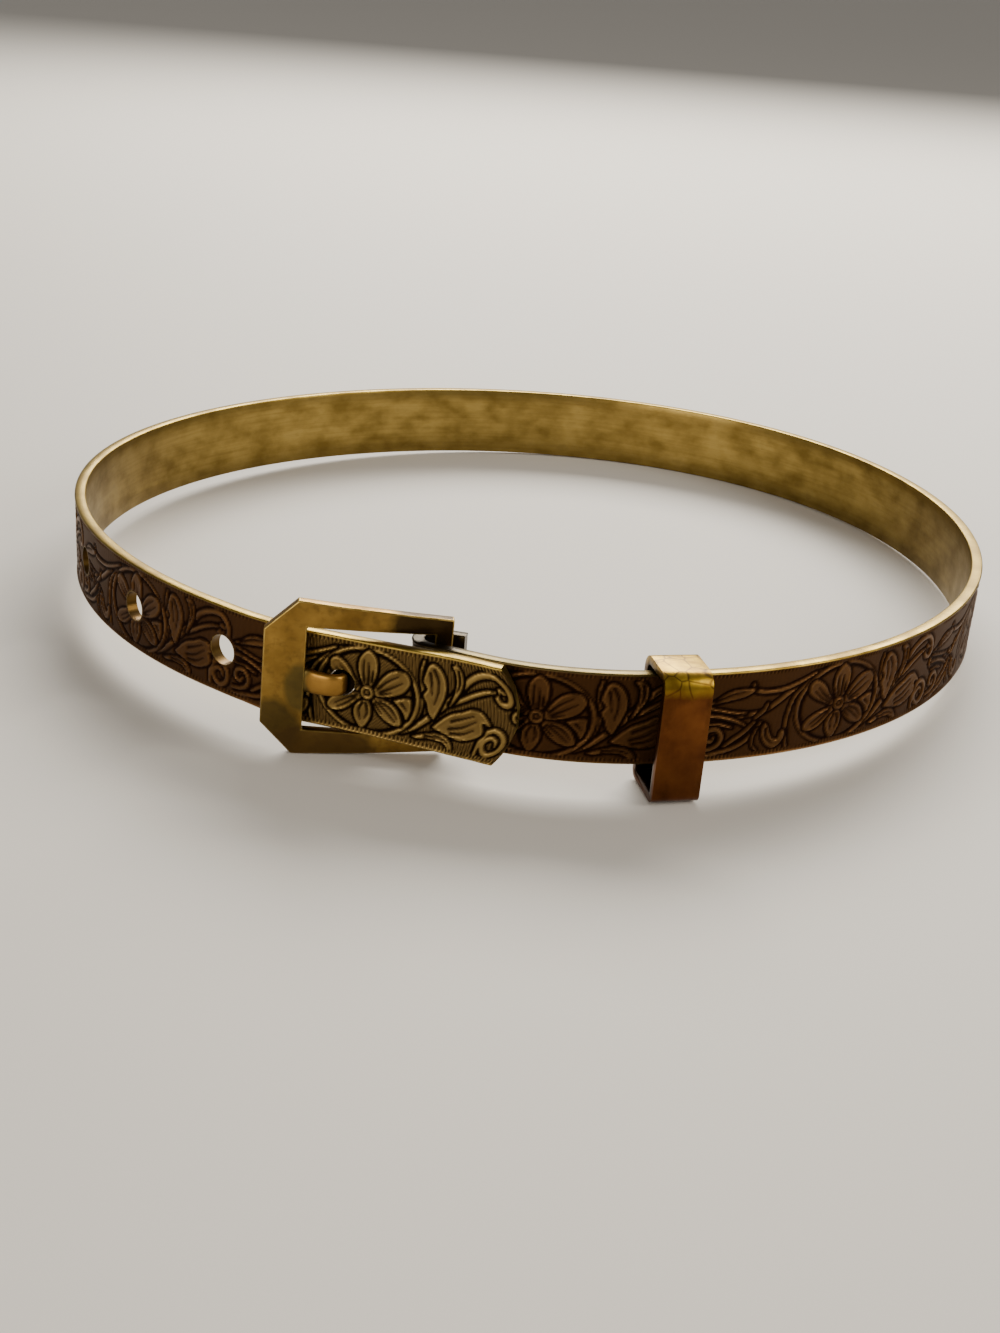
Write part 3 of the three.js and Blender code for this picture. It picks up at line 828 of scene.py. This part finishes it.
def add_hole_shade_plug(prong):
    """A short round peg that fills the hooked hole, painted near-black as the shade seen in it."""
    radius = HOOKED_HOLE_RADIUS - SHADE_PLUG_GAP
    work = bmesh.new()
    work.from_mesh(prong.data)
    bmesh.ops.create_cone(work, cap_ends=True, segments=40, radius1=radius, radius2=radius,
                          depth=STRAP_WALL / 2, matrix=hole_matrix(hole_places()[0]))
    work.to_mesh(prong.data)
    work.free()


def merge_into(piece, extra):
    work = bmesh.new()
    work.from_mesh(piece.data)
    work.from_mesh(extra.data)
    work.to_mesh(piece.data)
    work.free()
    bpy.data.objects.remove(extra)


def store_places(piece):
    """Each point's place on the plate, u and v, and whether it belongs to the peg in the hooked hole, which
    is painted as shade.
    """
    points = np.array([TO_BAND @ vertex.co for vertex in piece.data.vertices])
    store(piece, "plate_u", (points[:, :2] - PLATE_START) @ PLATE_RUN)
    store(piece, "plate_v", points[:, 2])
    hole = hole_matrix(hole_places()[0]).inverted()
    in_hole = [hole @ vertex.co for vertex in piece.data.vertices]
    hole_shade_plug = [abs(p.z) < STRAP_WALL / 2 and p.xy.length < HOOKED_HOLE_RADIUS for p in in_hole]
    store(piece, "hole_shade_plug", hole_shade_plug)


def store_worn(piece):
    """Marks the narrow faces along broken edges, which a bevel gave the second material."""
    store(piece, "worn", [face.material_index == 1 for face in piece.data.polygons], "FACE")
    for face in piece.data.polygons:
        face.material_index = 0


def break_edges(piece, width, segments):
    """Bevels the sharp edges, and gives the new narrow faces the second material."""
    piece.data.materials.append(None)
    piece.data.materials.append(None)
    bevel = piece.modifiers.new("edges", "BEVEL")
    bevel.width = width * MM
    bevel.segments = segments
    bevel.limit_method = "ANGLE"
    bevel.angle_limit = math.radians(35)
    bevel.material = 1
    apply_modifiers(piece)


def build_buckle():
    buckle = build_plate()
    merge_into(buckle, build_prong())
    store_worn(buckle)
    store_places(buckle)
    return buckle


def build_keeper():
    """The part's own loop with broken edges."""
    keeper = add_object("keeper_loop", frame["nodes"]["keeper"].data.copy())
    keeper.data.materials.clear()
    work = bmesh.new()
    work.from_mesh(keeper.data)
    bmesh.ops.remove_doubles(work, verts=work.verts, dist=2e-6)
    bmesh.ops.dissolve_limit(work, angle_limit=math.radians(0.6), verts=work.verts, edges=work.edges)
    work.to_mesh(keeper.data)
    work.free()
    break_edges(keeper, KEEPER_EDGE, 2)
    store_worn(keeper)
    store_keeper_places(keeper)
    return keeper


def store_keeper_places(keeper):
    """Each point's height, and whether it lies on the inside of the loop."""
    points = np.array([TO_BAND @ vertex.co for vertex in keeper.data.vertices])
    middle = (points.min(0) + points.max(0)) / 2
    half_height = (points[:, 2].max() - points[:, 2].min()) / 2
    _, outward = band_direction(KEEPER_PLACE)
    out = np.abs((points - middle)[:, :2] @ outward)
    up = np.abs(points[:, 2] - middle[2])
    deep = KEEPER_WALL * 0.7
    store(keeper, "rise", points[:, 2])
    store(keeper, "inner", (out < KEEPER_DEPTH / 2 - deep) & (up < half_height - deep))


# Materials
class Nodes:
    """Short calls for building a node tree."""

    def __init__(self, name):
        self.material = bpy.data.materials.new(name)
        self.material.use_nodes = True
        self.tree = self.material.node_tree
        self.shader = self.tree.nodes["Principled BSDF"]

    def node(self, kind, **settings):
        made = self.tree.nodes.new(kind)
        for key, value in settings.items():
            setattr(made, key, value)
        return made

    def link(self, source, target):
        self.tree.links.new(source, target)

    def attribute(self, name):
        return self.node("ShaderNodeAttribute", attribute_name=name).outputs["Fac"]

    def noise(self, scale, detail, stretch=(1, 1, 1), roughness=0.55):
        """Noise over the piece's own place, scale in cells to the metre."""
        place = self.node("ShaderNodeNewGeometry").outputs["Position"]
        mapping = self.node("ShaderNodeMapping")
        mapping.inputs["Scale"].default_value = stretch
        self.link(place, mapping.inputs["Vector"])
        noise = self.node("ShaderNodeTexNoise")
        noise.inputs["Scale"].default_value = scale
        noise.inputs["Detail"].default_value = detail
        noise.inputs["Roughness"].default_value = roughness
        self.link(mapping.outputs["Vector"], noise.inputs["Vector"])
        return noise.outputs["Fac"]

    def ramp(self, value, low, high, start=0.0, end=1.0):
        """Start where value is low, end where it is high, evenly between."""
        span = self.node("ShaderNodeMapRange")
        span.inputs["From Min"].default_value = low
        span.inputs["From Max"].default_value = high
        span.inputs["To Min"].default_value = start
        span.inputs["To Max"].default_value = end
        self.link(value, span.inputs["Value"])
        return span.outputs["Result"]

    def mix(self, share, first, second):
        """A colour between two."""
        mix = self.node("ShaderNodeMix", data_type="RGBA")
        self.feed(share, mix.inputs["Factor"])
        self.feed(first, mix.inputs["A"])
        self.feed(second, mix.inputs["B"])
        for output in mix.outputs:
            if output.type == "RGBA":
                return output

    def maths(self, operation, first, second):
        maths = self.node("ShaderNodeMath", operation=operation)
        self.feed(first, maths.inputs[0])
        self.feed(second, maths.inputs[1])
        return maths.outputs[0]

    def feed(self, value, socket):
        """Gives a socket another socket's output, a colour or a number."""
        if isinstance(value, bpy.types.NodeSocket):
            self.link(value, socket)
        elif isinstance(value, tuple):
            socket.default_value = (*value, 1.0)
        else:
            socket.default_value = value

    def noise_at(self, across, up, across_scale, up_scale, detail):
        """Noise over two coordinates in millimetres."""
        join = self.node("ShaderNodeCombineXYZ")
        self.link(self.maths("MULTIPLY", across, across_scale), join.inputs["X"])
        self.link(self.maths("MULTIPLY", up, up_scale), join.inputs["Y"])
        noise = self.node("ShaderNodeTexNoise")
        noise.inputs["Scale"].default_value = 1.0
        noise.inputs["Detail"].default_value = detail
        self.link(join.outputs["Vector"], noise.inputs["Vector"])
        return noise.outputs["Fac"]

    def cracks(self, scale):
        """0 along thin lines between cells, growing away from them."""
        cells = self.node("ShaderNodeTexVoronoi", feature="DISTANCE_TO_EDGE")
        cells.inputs["Scale"].default_value = scale
        place = self.node("ShaderNodeNewGeometry").outputs["Position"]
        self.link(place, cells.inputs["Vector"])
        return cells.outputs["Distance"]

    def spot(self, across, up, middle, reach):
        """1 in the middle of an oval spot, falling to 0 at its edge."""
        x = self.maths("DIVIDE", self.maths("SUBTRACT", across, middle[0]), reach[0])
        y = self.maths("DIVIDE", self.maths("SUBTRACT", up, middle[1]), reach[1])
        far = self.maths("ADD", self.maths("MULTIPLY", x, x), self.maths("MULTIPLY", y, y))
        return self.ramp(far, 0.0, 1.0, 1.0, 0.0)

    def blend(self, share, first, second):
        """A number between two."""
        mix = self.node("ShaderNodeMix", data_type="FLOAT")
        self.feed(share, mix.inputs["Factor"])
        self.feed(first, mix.inputs["A"])
        self.feed(second, mix.inputs["B"])
        return mix.outputs["Result"]

    def bump(self, height, strength, distance):
        bump = self.node("ShaderNodeBump")
        bump.inputs["Strength"].default_value = strength
        bump.inputs["Distance"].default_value = distance
        self.link(height, bump.inputs["Height"])
        self.link(bump.outputs["Normal"], self.shader.inputs["Normal"])


def engraved_colour(n, blotch):
    """The outside's colour by depth: dark grooves, brown ground, worn tops; the tip is brighter."""
    relief, polish = n.attribute("relief"), n.attribute("polish")
    patches = n.ramp(blotch, 0.35, 0.68)
    band = n.mix(patches, (0.095, 0.043, 0.014), (0.155, 0.076, 0.025))
    tip = n.mix(patches, (0.25, 0.16, 0.048), (0.37, 0.25, 0.08))
    raised = n.mix(polish, band, tip)
    middle = n.mix(polish, (0.07, 0.031, 0.011), (0.14, 0.085, 0.028))
    groove = n.mix(polish, (0.016, 0.006, 0.003), (0.011, 0.005, 0.002))
    low = n.mix(n.ramp(relief, 0.05, 0.6), groove, middle)
    return n.mix(n.ramp(relief, 0.6, 0.95), low, raised)


def inner_colour(n, blotch, streak):
    """The satin inside, in patches, with faint streaks along the strap."""
    satin = n.mix(n.ramp(blotch, 0.32, 0.66), (0.19, 0.125, 0.03), (0.37, 0.26, 0.075))
    return n.mix(n.ramp(streak, 0.42, 0.75, 0.0, 0.35), satin, (0.15, 0.09, 0.02))


def strap_material():
    n = Nodes("strap_brass")
    outside, place, level = n.attribute("outside"), n.attribute("place"), n.attribute("level")
    blotch = n.noise_at(place, level, 0.35, 0.55, 5)
    streak = n.noise_at(place, level, 0.12, 3.2, 4)
    fine = n.noise_at(place, level, 5.0, 5.0, 3)
    colour = n.mix(outside, inner_colour(n, blotch, streak), engraved_colour(n, blotch))
    # The top edge is painted bright gold: partly rubbed bare, partly a painted highlight where light from
    # above catches it.
    edge = n.mix(n.ramp(blotch, 0.35, 0.6), (0.20, 0.13, 0.022), (0.37, 0.255, 0.05))
    # Painted shade: the top edge is darkened from the heel end of the strap up to past the keeper.
    edge = n.mix(n.ramp(place, 4.0, 12.0, 0.75, 0.0), edge, (0.10, 0.08, 0.035))
    colour = n.mix(n.ramp(level, 5.86, 5.95), colour, edge)
    # Painted shade: the walls of the holes are darkened.
    colour = n.mix(n.ramp(n.attribute("bore"), 0.0, 1.0, 0.0, 0.85), colour, (0.07, 0.035, 0.01))
    # Painted shade: the strap's start, folded round the heel bar under the plate, is darkened raggedly to
    # near-black.
    heel = n.maths("ADD", n.ramp(place, -6.5, -3.5, 1.0, 0.0), n.ramp(blotch, 0.3, 0.7, -0.5, 0.1))
    colour = n.mix(n.ramp(heel, 0.0, 0.6, 0.0, 0.9), colour, (0.02, 0.013, 0.006))
    n.link(colour, n.shader.inputs["Base Color"])
    n.shader.inputs["Metallic"].default_value = 1.0
    rough_face = n.ramp(n.attribute("relief"), 0.0, 1.0, 0.8, 0.4)
    rough_inside = n.ramp(blotch, 0.3, 0.7, 0.42, 0.28)
    n.link(n.blend(outside, rough_inside, rough_face), n.shader.inputs["Roughness"])
    n.bump(n.maths("ADD", fine, n.maths("MULTIPLY", streak, 0.5)), 0.25, 0.00003)
    return n.material


# Dark patches on the plate, by u and v of their middle and their reach along each; the first and the last are
# painted shade
DARK_PATCHES = [
    # Painted shade where the prong bends over the front bar
    {"middle": (FRONT_BAR - 0.2, FRAME_MIDDLE - 0.5), "reach": (1.3, 2.0),
     "colour": (0.085, 0.07, 0.025), "strength": 0.7},
    # Darker at the lower front corner and along the lower arm
    {"middle": (0.6, -0.2), "reach": (2.2, 2.4), "colour": (0.07, 0.05, 0.018), "strength": 0.8},
    {"middle": (3.6, -1.4), "reach": (4.2, 1.9), "colour": (0.09, 0.052, 0.018), "strength": 0.85},
    # Painted shade at the heel end of the upper arm
    {"middle": (FRAME_LENGTH - 1.0, 7.0), "reach": (3.4, 1.9),
     "colour": (0.03, 0.018, 0.008), "strength": 0.92},
]


def with_dark_patches(n, brass, u, v, blotch, spots):
    """Brass with the plate's dark patches, which fade out raggedly: painted shade at the prong's bend and the
    upper arm's heel end, darker at the lower front corner and along the lower arm.
    """
    ragged = n.maths("ADD", n.maths("MULTIPLY", blotch, 0.8), n.maths("MULTIPLY", spots, 0.5))
    ragged = n.maths("ADD", ragged, 0.35)
    for dark_patch in DARK_PATCHES:
        reach = n.maths("MULTIPLY", ragged, n.spot(u, v, dark_patch["middle"], dark_patch["reach"]))
        brass = n.mix(n.ramp(reach, 0.18, 0.55, 0.0, dark_patch["strength"]), brass, dark_patch["colour"])
    return brass


def buckle_material():
    n = Nodes("buckle_brass")
    u, v, worn = n.attribute("plate_u"), n.attribute("plate_v"), n.attribute("worn")
    blotch = n.noise_at(u, v, 0.45, 0.5, 5)
    spots = n.noise_at(u, v, 1.6, 1.6, 4)
    scratch = n.noise_at(u, v, 0.6, 4.0, 4)
    brass = n.mix(n.ramp(blotch, 0.3, 0.7), (0.20, 0.11, 0.023), (0.37, 0.22, 0.05))
    brass = n.mix(n.ramp(spots, 0.5, 0.75, 0.0, 0.7), brass, (0.13, 0.075, 0.02))
    brass = with_dark_patches(n, brass, u, v, blotch, spots)
    prong = n.spot(u, v, (FRONT_BAR + 1.9, FRAME_MIDDLE), (1.9, 1.4))
    brass = n.mix(n.ramp(prong, 0.0, 0.25, 0.0, 0.8), brass, (0.40, 0.21, 0.045))
    # Worn edges turn bright brass: partly rubbed bare, partly a painted highlight that grows towards the top.
    bright = n.mix(n.ramp(spots, 0.4, 0.62), (0.32, 0.21, 0.05), (0.58, 0.41, 0.12))
    top = n.maths("MULTIPLY", worn, n.ramp(v, 3.0, 7.0, 0.25, 0.9))
    brass = n.mix(top, brass, bright)
    # Painted shade: the peg in the hooked hole is near-black.
    brass = n.mix(n.attribute("hole_shade_plug"), brass, (0.012, 0.007, 0.003))
    n.link(brass, n.shader.inputs["Base Color"])
    n.shader.inputs["Metallic"].default_value = 1.0
    n.link(n.ramp(blotch, 0.3, 0.7, 0.46, 0.32), n.shader.inputs["Roughness"])
    n.bump(n.maths("ADD", scratch, spots), 0.3, 0.00004)
    return n.material


def keeper_material():
    n = Nodes("keeper_brass")
    rise, worn = n.attribute("rise"), n.attribute("worn")
    blotch = n.noise(420, 5)
    dark_patch = n.noise(700, 5, (1, 1, 0.5), 0.6)
    scratch = n.noise(1500, 3, (1, 1, 0.2))
    front = n.mix(n.ramp(blotch, 0.32, 0.68), (0.075, 0.023, 0.007), (0.15, 0.052, 0.014))
    front = n.mix(n.ramp(dark_patch, 0.5, 0.72, 0.0, 0.7), front, (0.045, 0.016, 0.004))
    gold = n.mix(n.ramp(dark_patch, 0.4, 0.62), (0.25, 0.145, 0.012), (0.43, 0.275, 0.025))
    gold = n.mix(n.ramp(n.cracks(750), 0.0, 0.05, 0.85, 0.0), gold, (0.06, 0.03, 0.01))
    # Painted light: the loop turns gold towards its top, as lit from above, and its lower front stays dark as
    # painted shade; the front's darker patches are tarnish.
    high = n.ramp(n.maths("ADD", rise, n.maths("MULTIPLY", blotch, 0.8)), 5.75, 6.9)
    colour = n.mix(high, front, gold)
    colour = n.mix(n.maths("MULTIPLY", worn, 0.4), colour, (0.44, 0.28, 0.07))
    # Painted shade: the inside of the loop is darkened to near-black.
    colour = n.mix(n.maths("MULTIPLY", n.attribute("inner"), 0.92), colour, (0.02, 0.01, 0.005))
    n.link(colour, n.shader.inputs["Base Color"])
    n.shader.inputs["Metallic"].default_value = 1.0
    n.link(n.ramp(blotch, 0.3, 0.7, 0.42, 0.28), n.shader.inputs["Roughness"])
    n.bump(n.maths("ADD", scratch, dark_patch), 0.3, 0.00005)
    return n.material


def floor_material():
    n = Nodes("studio_floor")
    n.shader.inputs["Base Color"].default_value = (0.72, 0.69, 0.64, 1)
    n.shader.inputs["Roughness"].default_value = 0.6
    return n.material


# Stage
FLOOR_REACH = 12
LIGHTS = [
    {"name": "back_window", "place": (0.05, 0.30, 0.22), "size": (0.34, 0.16), "power": 2.6,
     "colour": (1.0, 0.95, 0.86)},
    {"name": "right_fill", "place": (0.30, -0.12, 0.20), "size": (0.2, 0.2), "power": 0.7,
     "colour": (1.0, 0.93, 0.82)},
    {"name": "front_fill", "place": (-0.22, -0.30, 0.14), "size": (0.24, 0.16), "power": 0.55,
     "colour": (1.0, 0.92, 0.82)},
]
SKY_COLOUR = (0.9, 0.86, 0.8, 1)
SKY_STRENGTH = 0.28


def build_floor():
    signs = ((-1, -1), (1, -1), (1, 1), (-1, 1))
    corners = [(x * FLOOR_REACH, y * FLOOR_REACH, 0) for x, y in signs]
    floor = new_object("studio_floor", corners, [(0, 1, 2, 3)])
    floor.data.materials.append(floor_material())


def add_light(name, place, size, power, colour):
    """A soft rectangular light aimed at the part."""
    data = bpy.data.lights.new(name, "AREA")
    data.shape = "RECTANGLE"
    data.size, data.size_y = size
    data.energy = power
    data.color = colour
    light = add_object(name, data)
    light.location = place
    light.rotation_euler = (-Vector(place)).to_track_quat("-Z", "Y").to_euler()


def build_lights():
    for light in LIGHTS:
        add_light(**light)
    world = bpy.data.worlds.new("studio")
    world.use_nodes = True
    sky = world.node_tree.nodes["Background"]
    sky.inputs["Color"].default_value = SKY_COLOUR
    sky.inputs["Strength"].default_value = SKY_STRENGTH
    bpy.context.scene.world = world


def build_camera():
    """The camera in the band's frame, rolled and shifted as fitted, then taken to the part's."""
    down, roll = CAMERA_DOWN, CAMERA_ROLL
    ahead = Vector((0, math.cos(down), -math.sin(down)))
    right = Vector((1, 0, 0))
    up = right.cross(ahead)
    right_rolled = math.cos(roll) * right + math.sin(roll) * up
    up_rolled = math.cos(roll) * up - math.sin(roll) * right
    place = (BAND_MIDDLE - CAMERA_DISTANCE * ahead + CAMERA_ACROSS * right_rolled
             + CAMERA_UP * up_rolled)
    turn = TO_PART.to_quaternion().to_matrix()
    axes = Matrix((turn @ right_rolled, turn @ up_rolled, turn @ -ahead)).transposed()
    data = bpy.data.cameras.new("camera")
    data.sensor_width = SENSOR
    data.lens = FOCAL_PIXELS / PHOTO_LONG_SIDE * SENSOR
    data.clip_start = 0.005
    camera = add_object("camera", data)
    camera.matrix_world = Matrix.Translation(TO_PART @ place) @ axes.to_4x4()
    bpy.context.scene.camera = camera


def plain(box):
    return [[float(x) for x in corner] for corner in box]


build_camera()
build_lights()
build_floor()

strap = build_strap()
finish(strap, strap_material(), 50)
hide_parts("strap")
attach(strap, "bangle")

buckle = build_buckle()
finish(buckle, buckle_material(), 30)
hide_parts("buckle_frame")
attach(buckle, "bangle")

keeper = build_keeper()
finish(keeper, keeper_material(), 30)
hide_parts("keeper")
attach(keeper, "keeper")
